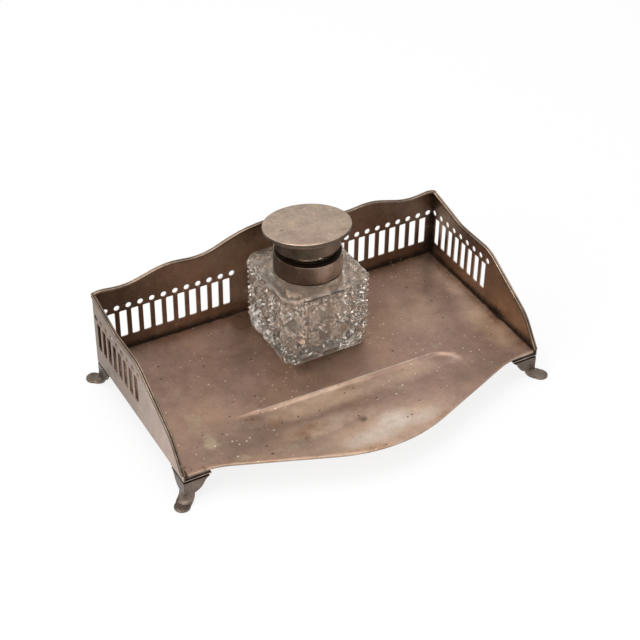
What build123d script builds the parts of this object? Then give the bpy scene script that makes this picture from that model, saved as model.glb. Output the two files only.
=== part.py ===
from build123d import *
import os
from math import cos, radians, sin, sqrt, tan

# Desk inkstand in silver: a tray with a serpentine front and a pierced three-sided
# gallery, on four bracket feet, carrying a loose square glass inkwell whose round
# lid is hinged at the back of its collar and stands a little ajar.
# Frame: +X to the right, +Y to the back, +Z up, table at z = 0. Millimetres.

# ---------------------------------------------------------------- driving sizes
# Tray
tray_length = 180.6        # over the outside of the two side galleries
corner_depth = 92.3        # back gallery's outside face to the front corners
bow = 24.1                 # swell of the serpentine front past the corners
plate_thickness = 1.0
floor_height = 14.5        # top of the tray's floor above the table
bow_knee_inset = 15.5      # from a tray end to the knee where the front starts to swell
bow_knee_radius = 31.0
bow_crown_radius = 72.0

# Pen trough pressed into the floor: a step along its back and round its ends, then a
# long slope that runs out towards the front
trough_run = 91.0          # straight length of its back edge
trough_from_back = 70.0    # its back edge, from the back gallery's outside face
trough_width = 22.5        # from the back edge to where the slope runs out
trough_depth = 1.7
trough_step = 3.4          # from the edge to the foot of the step
trough_end_radius = 11.5   # of the edge round each end

# Gallery sheet, heights taken above the tray's floor
gallery_sheet = 0.6
gallery_drop = 2.5         # how far the sheet reaches below the floor
corner_height = 34.0
peak_height = 34.9         # of the low peak beside each back corner
peak_inset = 3.0
dip_height = 33.3
dip_inset = 16.0
shoulder_height = 39.1
shoulder_inset = 36.3
hollow_height = 36.8
hollow_half = 36.0
hump_height = 45.9
hump_half = 13.0
sweep_height = 28.5
sweep_run = 26.0
brow_height = 29.2
brow_run = 49.2
haunch_height = 12.6
haunch_inset = 11.3        # from the front corner
crest_end_inset = 1.5      # from the front corner to where the side crest meets the floor
wave_radius = 32.0         # eases every bend of the crest but the two of the hump
hump_radius = 60.0
brow_radius = 20.0

# Piercing: rows of slots with a round hole above every bar
slot_pitch = 5.8
slot_width = 3.6
slot_height = 14.6
slot_centre = 13.7         # above the floor
slot_corner = 0.4          # cut across each corner of a slot
hole_diameter = 2.9
hole_sides = 12            # the small holes are drawn as polygons, to keep them light
hole_centre = 23.3         # above the floor
back_slots = 11            # slots in each of the two groups of the back
back_first_hole = 4.2      # from a tray end to the first hole of the back
back_rows_aside = 1.0      # both groups of the back, right of the tray's centre line
side_slots = 8
side_first_hole = 2.5      # from the back gallery's outside face

# Reeded wire soldered along the crest of the gallery
rim_width = 2.0
rim_height = 1.1
rim_corner = 1.6           # rounding of the back wire's two outer corners
reed_sides = 8             # each round reed is drawn as a polygon, to keep it light

# Bracket feet
foot_arm = 13.0            # length of each arm of the angle under the tray
foot_arm_width = 2.4
foot_setback = 0.8         # how far the groove and the leg stop short of the arm's end
foot_bead = 0.7            # height of the bead that shows below the gallery
foot_groove = 0.9          # height of the groove below the bead
foot_groove_depth = 0.7
foot_sheet = 1.2           # thickness of the cast leg
knee_arm = 9.6             # width of each wall of the leg at its knee
knee_drop = 2.7            # knee below the groove
leg_round = 0.3            # swell of the outline from the groove to the knee
leg_hollow = 0.7           # depth of the hollow outline from the knee to the ankle
ankle_arm = 5.0            # width of each wall at the ankle
instep_radius = 2.6        # of the turn from the ankle to the pad
pad_radius = 3.6
pad_thickness = 1.0
pad_edge = 0.4             # bevel of the pad's upper edge
pad_out = 2.0              # pad's centre, out from each outside face of the tray

# Glass inkwell
well_side = 44.3
well_height = 37.3         # base to shoulder
well_corner = 4.6          # flat cut across each upright corner
well_edge = 1.0            # bevel round the shoulder and the base
well_from_back = 29.2      # its axis, from the back gallery's outside face
well_aside = 3.4           # its axis, right of the tray's centre line
ink_side = 31.0
ink_corner = 8.0
ink_floor = 7.0            # glass under the ink
ink_ceiling = 5.0          # glass over the ink, at the shoulder
neck_radius = 12.4
neck_bore_radius = 8.6
neck_height = 8.4

# Silver collar, bezel and lid
collar_radius = 15.85
collar_height = 9.7
collar_sheet = 0.7
collar_lip = 3.6           # how far the collar's top turns in over the glass
bezel_height = 1.6
bezel_sheet = 0.5
bezel_inset = 2.3          # bezel's outside, in from the collar's outside
skirt_radius = 14.9
skirt_sheet = 0.6
lid_height = 10.3          # collar rim to the top of the closed lid
lid_radius = 20.2
lid_plate_thickness = 1.3
lid_edge = 0.4             # bevel of the lid plate's edges
moulding_radius = 17.9
moulding_height = 1.1
moulding_rim = 0.4         # upright edge of the moulding
moulding_step = 0.4        # ledge of the moulding outside the skirt
ajar_angle = 7.3           # how far the lid stands open as it is shown

# Hinge
pin_radius = 0.55
pin_overhang = 0.3         # pin past each end of the knuckles
knuckle_radius = 1.25
knuckle_length = 3.8
leaf_thickness = 0.8
leaf_height = 4.6

# Fits
solder_gap = 0.02          # between pieces that are soldered or cemented
seat_gap = 0.05            # under the closed lid
pin_clearance = 0.05       # round the pin in the lid's knuckle
knuckle_gap = 0.15         # between neighbouring knuckles

# ---------------------------------------------------------------- worked-out places
half_length = tray_length / 2
toe_reach = pad_out + pad_radius
back_face = (corner_depth + bow - toe_reach) / 2
front_corner = back_face - corner_depth
plate_under = floor_height - plate_thickness
sheet_foot = floor_height - gallery_drop
inner_back = back_face - gallery_sheet
inner_half = half_length - gallery_sheet
side_back = inner_back - solder_gap
trough_back = back_face - trough_from_back
trough_front = trough_back - trough_width
well_y = back_face - well_from_back
shoulder_z = floor_height + well_height
collar_top = shoulder_z + collar_height
collar_inner = collar_radius - collar_sheet
bezel_radius = collar_radius - bezel_inset
hinge_y = well_y + collar_radius + knuckle_radius
hinge_z = collar_top + seat_gap

os.makedirs("parts", exist_ok=True)


def finish(builder, label):
    """Name a finished piece and write it."""
    builder.part.label = label
    export_step(builder.part, f"parts/{label}.step")


def eased(points, radii):
    """Bend radii, none larger than the two runs beside its bend can hold."""
    fitted = []
    for before, bend, after, radius in zip(points, points[1:], points[2:], radii):
        run_in = Vector(*bend) - Vector(*before)
        run_out = Vector(*after) - Vector(*bend)
        turn = max(run_in.get_angle(run_out), 0.5)
        room = 0.48 * min(run_in.length, run_out.length)
        fitted.append(min(radius, room / tan(radians(turn / 2))))
    return fitted


# ---------------------------------------------------------------- tray floor
# Sheet with a straight edge over each front foot and a serpentine swell between.
# The two slopes meet past the crown, at the height whose rounding ends on the crown.
slope_run = half_length - bow_knee_inset
crown_rest = bow_crown_radius - bow
steepness = 1 - bow_crown_radius**2 / slope_run**2
root = sqrt(crown_rest**2 - steepness * (crown_rest**2 - bow_crown_radius**2))
peak = (bow_crown_radius**2 - crown_rest**2) / (crown_rest + root)
front_points = [
    (-inner_half, front_corner),
    (bow_knee_inset - half_length, front_corner),
    (0, front_corner - peak),
    (half_length - bow_knee_inset, front_corner),
    (inner_half, front_corner),
]
front_radii = [bow_knee_radius, bow_crown_radius, bow_knee_radius]


def trough_outline(inset, height):
    """Plan of the trough: a straight back edge with round ends, open in front."""
    half_run = trough_run / 2
    end_radius = trough_end_radius - inset
    back = trough_back - inset
    with BuildSketch(Plane.XY.offset(height)) as outline:
        with BuildLine():
            Line((-half_run, back), (half_run, back))
            RadiusArc((half_run, back), (half_run + end_radius, back - end_radius), end_radius)
            Polyline(
                (half_run + end_radius, back - end_radius),
                (half_run + end_radius, trough_front - plate_thickness),
                (-half_run - end_radius, trough_front - plate_thickness),
                (-half_run - end_radius, back - end_radius),
            )
            RadiusArc((-half_run - end_radius, back - end_radius), (-half_run, back), end_radius)
        make_face()
    return outline.sketch


def trough_form(top):
    """The pressed form, from its edge at the height top: the step, cut off by the slope."""
    deep = trough_depth * trough_width / (trough_width - trough_step)
    deep_inset = trough_step * deep / trough_depth
    with BuildPart() as form:
        loft([trough_outline(0, top), trough_outline(deep_inset, top - deep)], ruled=True)
        with BuildSketch(Plane.YZ) as slope:
            with BuildLine():
                Polyline((trough_front, top), (trough_back, top), (trough_back, top - deep), close=True)
            make_face()
        extrude(slope.sketch, amount=half_length, both=True, mode=Mode.INTERSECT)
    return form.part


trough_under = trough_form(plate_under)
trough_above = trough_form(floor_height)

with BuildPart() as tray_plate:
    with BuildSketch(Plane.XY.offset(plate_under)):
        with BuildLine():
            FilletPolyline(front_points, radius=eased(front_points, front_radii))
            Polyline(
                (inner_half, front_corner),
                (inner_half, inner_back),
                (-inner_half, inner_back),
                (-inner_half, front_corner),
            )
        make_face()
    extrude(amount=plate_thickness)
    add(trough_under)
    add(trough_above, mode=Mode.SUBTRACT)
finish(tray_plate, "tray_plate")

# ---------------------------------------------------------------- pierced gallery
# The crest lines are drawn once and serve the sheet and the wire on it.
left_wave = [
    (-half_length, floor_height + corner_height),
    (peak_inset - half_length, floor_height + peak_height),
    (dip_inset - half_length, floor_height + dip_height),
    (shoulder_inset - half_length, floor_height + shoulder_height),
    (-hollow_half, floor_height + hollow_height),
    (-hump_half, floor_height + hump_height),
]
right_wave = [(-x, z) for x, z in reversed(left_wave)]
back_crest = left_wave + right_wave
back_radii = [brow_radius] + [wave_radius] * 3 + [hump_radius] * 2 + [wave_radius] * 3 + [brow_radius]

side_crest = [
    (side_back, floor_height + corner_height),
    (back_face - sweep_run, floor_height + sweep_height),
    (back_face - brow_run, floor_height + brow_height),
    (front_corner + haunch_inset, floor_height + haunch_height),
    (front_corner + crest_end_inset, floor_height),
]
side_radii = [wave_radius, brow_radius, brow_radius]


def piercing(places, holes):
    """Cut slots at places and round holes at holes, both along the sketch's first axis."""
    half_width = slot_width / 2
    half_height = slot_height / 2
    quarter = [(half_width - slot_corner, half_height), (half_width, half_height - slot_corner)]
    right = quarter + [(x, -z) for x, z in reversed(quarter)]
    left = [(-x, -z) for x, z in right]
    with Locations([(place, floor_height + slot_centre) for place in places]):
        Polygon(*right, *left, mode=Mode.SUBTRACT)
    with Locations([(place, floor_height + hole_centre) for place in holes]):
        RegularPolygon(hole_diameter / 2, hole_sides, mode=Mode.SUBTRACT)


with BuildPart() as gallery_back:
    with BuildSketch(Plane.XZ.offset(gallery_sheet / 2 - back_face)):
        with BuildLine():
            FilletPolyline(back_crest, radius=eased(back_crest, back_radii))
            Polyline(
                (half_length, floor_height + corner_height),
                (half_length, sheet_foot),
                (-half_length, sheet_foot),
                (-half_length, floor_height + corner_height),
            )
        make_face()
        first = half_length - back_first_hole
        holes = [first - i * slot_pitch for i in range(back_slots + 1)]
        slots = [first - (i + 0.5) * slot_pitch for i in range(back_slots)]
        both_slots = [back_rows_aside + side * x for side in (-1, 1) for x in slots]
        both_holes = [back_rows_aside + side * x for side in (-1, 1) for x in holes]
        piercing(both_slots, both_holes)
    extrude(amount=gallery_sheet / 2, both=True)
finish(gallery_back, "gallery_back")


def side_gallery(side):
    """Side panel, butted to the back panel, swept down to the front corner."""
    with BuildPart() as panel:
        with BuildSketch(Plane.YZ.offset(side * (half_length - gallery_sheet / 2))):
            with BuildLine():
                FilletPolyline(side_crest, radius=eased(side_crest, side_radii))
                Polyline(
                    (front_corner + crest_end_inset, floor_height),
                    (front_corner, floor_height),
                    (front_corner, sheet_foot),
                    (side_back, sheet_foot),
                    (side_back, floor_height + corner_height),
                )
            make_face()
            first = back_face - side_first_hole
            holes = [first - i * slot_pitch for i in range(side_slots + 1)]
            slots = [first - (i + 0.5) * slot_pitch for i in range(side_slots)]
            piercing(slots, holes)
        extrude(amount=gallery_sheet / 2, both=True)
    return panel


finish(side_gallery(-1), "gallery_left")
finish(side_gallery(1), "gallery_right")


# ---------------------------------------------------------------- reeded rim wire
def reed_section(plane):
    """Two round reeds side by side on a flat back that sits on the sheet's edge."""
    reed = rim_width / 4
    with BuildSketch(plane) as section:
        with Locations((0, (rim_height - reed) / 2)):
            Rectangle(rim_width, rim_height - reed)
        with Locations((-reed, rim_height - reed), (reed, rim_height - reed)):
            RegularPolygon(reed, reed_sides)
    return section.sketch


def on_run(start, stop, first):
    """The point of the run from start to stop whose first coordinate is first."""
    share = (first - start[0]) / (stop[0] - start[0])
    return (first, start[1] + share * (stop[1] - start[1]))


rim_overhang = (rim_width - gallery_sheet) / 2
rim_half_length = half_length + rim_overhang
rim_back_face = back_face + rim_overhang
rim_line = [
    on_run(back_crest[0], back_crest[1], -rim_half_length),
    *back_crest[1:-1],
    on_run(back_crest[-1], back_crest[-2], rim_half_length),
]

with BuildPart() as rim_back:
    with BuildLine(Plane.XZ.offset(gallery_sheet / 2 - back_face)) as back_line:
        FilletPolyline(rim_line, radius=eased(rim_line, back_radii))
    start = Plane(origin=back_line.line @ 0, x_dir=(0, 1, 0), z_dir=back_line.line % 0)
    sweep(reed_section(start), path=back_line.line)
    with BuildSketch() as rounded_plan:
        with Locations((0, rim_back_face - rim_width)):
            plan = Rectangle(2 * rim_half_length, 2 * rim_width)
        fillet(plan.vertices().group_by(Axis.Y)[-1], rim_corner)
    extrude(rounded_plan.sketch, amount=floor_height + hump_height + rim_width, mode=Mode.INTERSECT)
finish(rim_back, "rim_back")


def side_rim(side):
    """Wire on a side panel: starts at the back wire, ends flat on the tray's floor."""
    rim_start = rim_back_face - rim_width - solder_gap
    points = [on_run(side_crest[0], side_crest[1], rim_start)] + side_crest[1:-1]
    below_floor = Vector(*side_crest[-1]) * 2 - Vector(*side_crest[-2])
    points.append((below_floor.X, below_floor.Y))
    with BuildPart() as wire:
        with BuildLine(Plane.YZ.offset(side * (half_length - gallery_sheet / 2))) as side_line:
            FilletPolyline(points, radius=eased(points, side_radii))
        start = Plane(origin=side_line.line @ 0, x_dir=(1, 0, 0), z_dir=side_line.line % 0)
        sweep(reed_section(start), path=side_line.line)
        split(bisect_by=Plane.XY.offset(floor_height + solder_gap), keep=Keep.TOP)
    return wire


finish(side_rim(-1), "rim_left")
finish(side_rim(1), "rim_right")

# ---------------------------------------------------------------- bracket feet
# An angle under the corner carries two upright walls that narrow to an ankle. From
# there the angle section opens out flat while it turns forward into a round pad.
bracket_top = sheet_foot - foot_bead - foot_groove
ankle_top = pad_thickness + instep_radius
# Tilt, arm, opening and thickness of the sections along that turn.
instep = [
    (0, ankle_arm, 45, foot_sheet),
    (30, (ankle_arm + pad_radius) / 2, 32, 0.95 * foot_sheet),
    (60, pad_radius, 8, 0.75 * foot_sheet),
    (85, 0.9 * pad_radius, 3, 0.7 * foot_sheet),
]


def instep_section(corner, tilt, arm, opening, thickness):
    """Angle section square to the turn: tilt 0 looks down, tilt 90 looks outward."""
    outward = (corner.x_dir + corner.y_dir) * -sqrt(0.5)
    across = (corner.x_dir - corner.y_dir) * sqrt(0.5)
    along = outward * sin(radians(tilt)) - corner.z_dir * cos(radians(tilt))
    out = instep_radius * (1 - cos(radians(tilt)))
    height = ankle_top - instep_radius * sin(radians(tilt))
    crest = corner.origin + outward * out + corner.z_dir * height
    half = arm * cos(radians(opening))
    fall = arm * sin(radians(opening))
    in_by = thickness * sin(radians(opening))
    down_by = thickness * cos(radians(opening))
    with BuildSketch(Plane(origin=crest, x_dir=across, z_dir=along)) as section:
        with BuildLine():
            Polyline(
                (-half, -fall),
                (0, 0),
                (half, -fall),
                (half - in_by, -fall - down_by),
                (0, -thickness / cos(radians(opening))),
                (in_by - half, -fall - down_by),
                close=True,
            )
        make_face()
    return section.sketch


def leg_wall(plane):
    """Upright wall of the leg: rounded in to the knee, then hollow to the ankle."""
    knee = (knee_arm, bracket_top - knee_drop)
    with BuildSketch(plane) as wall:
        with BuildLine():
            SagittaArc((foot_arm - foot_setback, bracket_top), knee, -leg_round)
            SagittaArc(knee, (ankle_arm, ankle_top), leg_hollow)
            Polyline(
                (ankle_arm, ankle_top),
                (0, ankle_top),
                (0, bracket_top),
                (foot_arm - foot_setback, bracket_top),
            )
        make_face()
    extrude(wall.sketch, amount=foot_sheet)


def angle(plane, inset, arm, width, height):
    """L-shaped bar along the two edges that meet at the corner."""
    with BuildSketch(plane) as bar:
        with BuildLine():
            Polyline(
                (inset, inset),
                (arm, inset),
                (arm, width),
                (width, width),
                (width, arm),
                (inset, arm),
                close=True,
            )
        make_face()
    extrude(bar.sketch, amount=height)


def foot(x, y, x_dir):
    """Foot at the tray corner (x, y); its two arms run along x_dir and to its left."""
    corner = Plane(origin=(x, y, 0), x_dir=x_dir, z_dir=(0, 0, 1))
    with BuildPart() as casting:
        with BuildSketch(corner):
            with Locations((-pad_out, -pad_out)):
                Circle(pad_radius)
        extrude(amount=pad_thickness)
        chamfer(casting.edges().group_by(Axis.Z)[-1], pad_edge)
        loft([instep_section(corner, *row) for row in instep])
        leg_wall(Plane(origin=corner.origin, x_dir=corner.x_dir, z_dir=-corner.y_dir).offset(-foot_sheet))
        leg_wall(Plane(origin=corner.origin, x_dir=corner.y_dir, z_dir=corner.x_dir))
        short_arm = foot_arm - foot_setback
        core_inset = gallery_sheet + solder_gap
        core_base = sheet_foot - solder_gap
        angle(corner.offset(bracket_top), foot_groove_depth, short_arm, foot_arm_width, foot_groove)
        angle(corner.offset(bracket_top + foot_groove), 0, foot_arm, foot_arm_width, foot_bead - solder_gap)
        angle(corner.offset(core_base), core_inset, short_arm, foot_arm_width, plate_under - solder_gap - core_base)
    return casting


finish(foot(-half_length, front_corner, (1, 0, 0)), "foot_front_left")
finish(foot(half_length, front_corner, (0, 1, 0)), "foot_front_right")
finish(foot(half_length, back_face, (-1, 0, 0)), "foot_back_right")
finish(foot(-half_length, back_face, (0, -1, 0)), "foot_back_left")

# ---------------------------------------------------------------- glass inkwell
well_axis = Axis((well_aside, well_y, 0), (0, 0, 1))
well_plan = Plane(origin=(well_aside, well_y, 0))
well_profile = Plane(origin=(well_aside, well_y, 0), x_dir=(1, 0, 0), z_dir=(0, -1, 0))

with BuildPart() as glass_well:
    with BuildSketch(well_plan.offset(floor_height)):
        block = Rectangle(well_side, well_side)
        chamfer(block.vertices(), well_corner)
    extrude(amount=well_height)
    ends = glass_well.faces().filter_by(Axis.Z)
    chamfer(ends.edges(), well_edge)
    with BuildSketch(well_plan.offset(shoulder_z)):
        Circle(neck_radius)
    extrude(amount=neck_height)
    with BuildSketch(well_plan.offset(floor_height + ink_floor)):
        RectangleRounded(ink_side, ink_side, ink_corner)
    extrude(amount=well_height - ink_floor - ink_ceiling, mode=Mode.SUBTRACT)
    with BuildSketch(well_plan.offset(floor_height + ink_floor)):
        Circle(neck_bore_radius)
    extrude(amount=well_height - ink_floor + neck_height, mode=Mode.SUBTRACT)
finish(glass_well, "glass_well")

# ---------------------------------------------------------------- collar and bezel
lip_radius = collar_radius - collar_lip
with BuildPart() as neck_collar:
    with BuildSketch(well_profile):
        with BuildLine():
            Polyline(
                (collar_radius, shoulder_z + solder_gap),
                (collar_radius, collar_top),
                (lip_radius, collar_top),
                (lip_radius, collar_top - collar_sheet),
                (collar_inner, collar_top - collar_sheet),
                (collar_inner, shoulder_z + solder_gap),
                close=True,
            )
        make_face()
    revolve(axis=well_axis)
finish(neck_collar, "neck_collar")

with BuildPart() as neck_cement:
    with BuildSketch(well_plan.offset(shoulder_z + solder_gap)):
        Circle(collar_inner - solder_gap)
        Circle(neck_radius + solder_gap, mode=Mode.SUBTRACT)
    extrude(amount=neck_height - 2 * solder_gap)
finish(neck_cement, "neck_cement")

with BuildPart() as collar_bezel:
    with BuildSketch(well_plan.offset(collar_top + solder_gap)):
        Circle(bezel_radius)
        Circle(bezel_radius - bezel_sheet, mode=Mode.SUBTRACT)
    extrude(amount=bezel_height)
finish(collar_bezel, "collar_bezel")

# ---------------------------------------------------------------- lid
# Everything on the lid is drawn in its own frame: origin on the hinge pin, tilted
# open by the ajar angle about the pin.
lid_tilt = radians(ajar_angle)
lid_up = Vector(0, sin(lid_tilt), cos(lid_tilt))
lid_front = Vector(0, -cos(lid_tilt), sin(lid_tilt))
hinge_point = Vector(well_aside, hinge_y, hinge_z)
lid_centre = hinge_point + lid_front * (hinge_y - well_y)
lid_plan = Plane(origin=lid_centre, x_dir=(1, 0, 0), z_dir=lid_up)
lid_axis = Axis(lid_centre, lid_up)
lid_side = Plane(origin=hinge_point, x_dir=-lid_front, z_dir=(1, 0, 0))
lid_profile = Plane(origin=lid_centre, x_dir=(1, 0, 0), z_dir=lid_front)
plate_low = lid_height - seat_gap - lid_plate_thickness
moulding_low = plate_low - moulding_height

with BuildPart() as lid_plate:
    with BuildSketch(lid_plan.offset(plate_low)):
        Circle(lid_radius)
    extrude(amount=lid_plate_thickness)
    chamfer(lid_plate.edges(), lid_edge)
finish(lid_plate, "lid_plate")

with BuildPart() as lid_moulding:
    with BuildSketch(lid_profile):
        with BuildLine():
            Polyline(
                (skirt_radius - skirt_sheet, moulding_low),
                (skirt_radius - skirt_sheet, plate_low - solder_gap),
                (moulding_radius, plate_low - solder_gap),
                (moulding_radius, plate_low - solder_gap - moulding_rim),
                (skirt_radius + moulding_step, moulding_low),
                close=True,
            )
        make_face()
    revolve(axis=lid_axis)
finish(lid_moulding, "lid_moulding")

with BuildPart() as lid_skirt:
    with BuildSketch(lid_plan):
        Circle(skirt_radius)
        Circle(skirt_radius - skirt_sheet, mode=Mode.SUBTRACT)
    extrude(amount=moulding_low - solder_gap)
finish(lid_skirt, "lid_skirt")

# ---------------------------------------------------------------- hinge
middle_half = knuckle_length / 2
outer_end = middle_half + knuckle_gap + knuckle_length
hinge_side = Plane(origin=hinge_point, x_dir=(0, 1, 0), z_dir=(1, 0, 0))

with BuildPart() as hinge_pin:
    with BuildSketch(hinge_side):
        Circle(pin_radius)
    extrude(amount=outer_end + pin_overhang, both=True)
finish(hinge_pin, "hinge_pin")

with BuildPart() as collar_hinge_leaf:
    with BuildSketch(hinge_side):
        with Locations((-knuckle_radius / 2 - leaf_thickness, -leaf_height / 2)):
            Rectangle(knuckle_radius + 2 * leaf_thickness, leaf_height)
    extrude(amount=outer_end, both=True)
    with BuildSketch(hinge_side):
        Circle(knuckle_radius)
    extrude(amount=outer_end, both=True)
    with BuildSketch(hinge_side):
        Circle(knuckle_radius + knuckle_gap)
        with Locations((-knuckle_radius, knuckle_radius)):
            Rectangle(2 * knuckle_radius, 2 * knuckle_radius)
    extrude(amount=middle_half + knuckle_gap, both=True, mode=Mode.SUBTRACT)
    with BuildSketch(well_plan.offset(floor_height)):
        Circle(collar_radius + solder_gap)
    extrude(amount=well_height + collar_height + knuckle_radius, mode=Mode.SUBTRACT)
    with BuildSketch(hinge_side):
        Circle(pin_radius + solder_gap)
    extrude(amount=outer_end, both=True, mode=Mode.SUBTRACT)
finish(collar_hinge_leaf, "collar_hinge_leaf")

with BuildPart() as lid_hinge_leaf:
    with BuildSketch(lid_side):
        Circle(knuckle_radius)
        with Locations((-knuckle_radius, leaf_height / 2)):
            Rectangle(2 * knuckle_radius, leaf_height)
    extrude(amount=middle_half, both=True)
    with BuildSketch(lid_plan):
        Circle(skirt_radius + solder_gap)
    extrude(amount=leaf_height + knuckle_radius, both=True, mode=Mode.SUBTRACT)
    with BuildSketch(lid_side):
        Circle(pin_radius + pin_clearance)
    extrude(amount=middle_half, both=True, mode=Mode.SUBTRACT)
finish(lid_hinge_leaf, "lid_hinge_leaf")
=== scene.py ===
# %% [markdown]
# # A desk inkstand in tarnished silver, with a cut-glass well
#
# The object is a small footed tray with a pierced gallery on three sides. A square
# glass inkwell with a silver collar and a hinged round lid stands loose on it.
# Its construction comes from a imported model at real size. This lesson gives every
# surface its finish, presses the pen trough softly into the floor, cuts the glass,
# and sets up the camera and the light.
#
# All lengths are in metres, so a small helper turns millimetres into metres.

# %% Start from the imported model
import bisect
import math

import bmesh
import bpy
from mathutils import Matrix, Vector, noise as field


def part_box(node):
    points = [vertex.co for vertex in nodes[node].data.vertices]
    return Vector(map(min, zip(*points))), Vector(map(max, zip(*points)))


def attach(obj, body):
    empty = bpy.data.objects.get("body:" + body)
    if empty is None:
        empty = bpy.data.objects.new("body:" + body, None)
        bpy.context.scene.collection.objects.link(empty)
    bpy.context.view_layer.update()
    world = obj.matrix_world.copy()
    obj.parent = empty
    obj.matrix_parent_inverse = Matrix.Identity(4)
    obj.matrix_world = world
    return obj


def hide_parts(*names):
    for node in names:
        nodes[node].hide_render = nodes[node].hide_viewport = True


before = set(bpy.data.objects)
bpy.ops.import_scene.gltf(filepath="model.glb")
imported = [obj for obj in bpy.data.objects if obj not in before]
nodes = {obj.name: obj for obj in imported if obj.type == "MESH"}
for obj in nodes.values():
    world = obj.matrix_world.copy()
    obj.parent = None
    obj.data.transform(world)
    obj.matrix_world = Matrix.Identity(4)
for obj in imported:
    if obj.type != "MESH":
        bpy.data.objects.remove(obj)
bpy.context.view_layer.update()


def mm(length):
    """A length in millimetres, in Blender's metres."""
    return length / 1000


for name in sorted(nodes):
    low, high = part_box(name)
    size = [round((high[i] - low[i]) * 1000, 1) for i in range(3)]
    print(f"{name:18s} {size} mm")

# %% [markdown]
# ## The camera
#
# The picture was taken from the front left, looking down at about 38 degrees, with a
# fairly long lens. The camera is placed by where it looks, from what direction and
# how far away. That reads better than a location and three angles, and it is easy to
# correct one of them. The lens follows from the focal length in pixels of the frame.

# %% Place the camera
FRAME_PIXELS = 640
FOCAL_PIXELS = 1544.46
SENSOR_WIDTH = 36.0
plate_low, plate_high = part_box("tray_plate")
LOOK_AT = Vector((mm(12.656), plate_high.y - mm(24.456), plate_high.z))
CAMERA_AZIMUTH = math.radians(-29.847)
CAMERA_HEIGHT = math.radians(37.531)
CAMERA_ROLL = math.radians(1.042)
CAMERA_DISTANCE = mm(731.413)

towards_camera = Vector((
    math.sin(CAMERA_AZIMUTH) * math.cos(CAMERA_HEIGHT),
    -math.cos(CAMERA_AZIMUTH) * math.cos(CAMERA_HEIGHT),
    math.sin(CAMERA_HEIGHT),
))
level_right = Vector((math.cos(CAMERA_AZIMUTH), math.sin(CAMERA_AZIMUTH), 0))
level_up = towards_camera.cross(level_right)
image_right = level_right * math.cos(CAMERA_ROLL) + level_up * math.sin(CAMERA_ROLL)
image_up = towards_camera.cross(image_right)

lens = bpy.data.cameras.new("camera")
lens.sensor_width = SENSOR_WIDTH
lens.lens = FOCAL_PIXELS / FRAME_PIXELS * SENSOR_WIDTH
lens.clip_start = mm(10)
camera = bpy.data.objects.new("camera", lens)
bpy.context.scene.collection.objects.link(camera)
turn = Matrix((image_right, image_up, towards_camera)).transposed()
camera.matrix_world = Matrix.Translation(LOOK_AT + towards_camera * CAMERA_DISTANCE) @ turn.to_4x4()
bpy.context.scene.camera = camera
print("camera stands at", [round(v * 1000) for v in camera.matrix_world.translation], "mm")

# %% [markdown]
# ## Helpers for node trees
#
# A material in Blender is a tree of nodes. Written out, each tree is long, so short
# helpers do the work: one adds a node, one joins a value or a socket to an input, and
# one does a sum. Every material below is written with them.


# %% Node helpers
def node(tree, kind, **settings):
    """Add a node and set its options."""
    made = tree.nodes.new("ShaderNode" + kind)
    for name, value in settings.items():
        setattr(made, name, value)
    return made


def feed(tree, socket, value):
    """Link a socket to an input, or write a plain value there."""
    if isinstance(value, bpy.types.NodeSocket):
        tree.links.new(value, socket)
    else:
        socket.default_value = value


def fill(tree, made, **values):
    """Feed the inputs of a node by their names."""
    for name, value in values.items():
        feed(tree, made.inputs[name.replace("_", " ")], value)


def calc(tree, operation, *values):
    """A sum on numbers or sockets."""
    made = node(tree, "Math", operation=operation)
    for socket, value in zip(made.inputs, values):
        feed(tree, socket, value)
    return made.outputs[0]


def off_by(tree, value, level):
    """How far a value is from a level, either way."""
    return calc(tree, "ABSOLUTE", calc(tree, "SUBTRACT", value, level))


def hypotenuse(tree, across, along):
    """Length of the slanting side over two sides at right angles."""
    squares = [calc(tree, "MULTIPLY", side, side) for side in (across, along)]
    return calc(tree, "SQRT", calc(tree, "ADD", *squares))


def fade(tree, value, start, stop, low=0.0, high=1.0):
    """Low up to start, high from stop, and a smooth change between them."""
    made = node(tree, "MapRange", interpolation_type="SMOOTHSTEP")
    fill(tree, made, Value=value, From_Min=start, From_Max=stop, To_Min=low, To_Max=high)
    return made.outputs["Result"]


def blend_colours(tree, factor, first, second, mode="MIX"):
    """Mix two colours by a mask."""
    made = node(tree, "Mix", data_type="RGBA", blend_type=mode)
    feed(tree, made.inputs["Factor"], factor)
    feed(tree, made.inputs[6], first)
    feed(tree, made.inputs[7], second)
    return made.outputs[2]


def noise(tree, place, scale, detail=2.0, roughness=0.5, distortion=0.0):
    """Cloudy noise, as a number about 0.5."""
    made = node(tree, "TexNoise")
    fill(tree, made, Vector=place, Scale=scale, Detail=detail)
    fill(tree, made, Roughness=roughness, Distortion=distortion)
    return made.outputs["Fac"]


def moved(tree, place, location=(0, 0, 0), rotation=(0, 0, 0), scale=(1, 1, 1)):
    """Coordinates shifted, turned or stretched by a Mapping node."""
    made = node(tree, "Mapping")
    fill(tree, made, Vector=place, Location=location, Rotation=rotation, Scale=scale)
    return made.outputs["Vector"]


def strongest(tree, *masks):
    """The highest of several masks at each point."""
    best = masks[0]
    for mask in masks[1:]:
        best = calc(tree, "MAXIMUM", best, mask)
    return best


def grey(level):
    return (level, level, level, 1.0)


# %% [markdown]
# ## Floor, backdrop and light
#
# The background of such a picture is plain white. Making it white with strong lamps
# would wash out the silver, so the floor and the world are white only where they are
# looked at: by the camera, in a reflection or through glass. The lamps then light the
# object at a plain level. Part of the floor's white is its own lit surface, so that
# the object still throws a soft shadow on it.

# %% The floor
FLOOR_RADIUS = 3.0
FLOOR_GLOW = 0.84          # share of the floor's white that needs no lamp
PAPER = 0.90


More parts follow.
